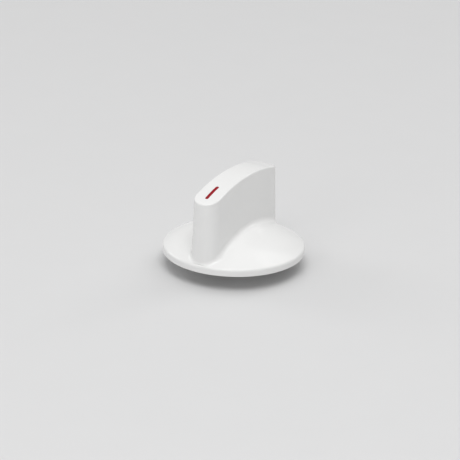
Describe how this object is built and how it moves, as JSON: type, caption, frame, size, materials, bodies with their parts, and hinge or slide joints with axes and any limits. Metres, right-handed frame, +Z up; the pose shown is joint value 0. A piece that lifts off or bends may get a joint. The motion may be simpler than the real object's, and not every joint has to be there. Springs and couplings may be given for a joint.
{
  "type": "laundry appliance control knob",
  "caption": "White push-on control knob: domed round skirt, upright arched grip blade with a red pointer line, hollow ribbed underside and a D-shaft hub with a spring clip.",
  "frame": {"origin": "centre of the hub's end face, on which the knob stands", "axes": "+Z up along the shaft axis, the pointer end of the grip faces -Y"},
  "size_m": [0.05, 0.05, 0.0348],
  "materials": {
    "white_plastic": "satin white",
    "red_paint": "matt red paint",
    "spring_steel": "bare spring steel"
  },
  "bodies": {
    "root": {"knob_body": "white_plastic", "pointer_line": "red_paint", "shaft_clip": "spring_steel"}
  },
  "joints": []
}
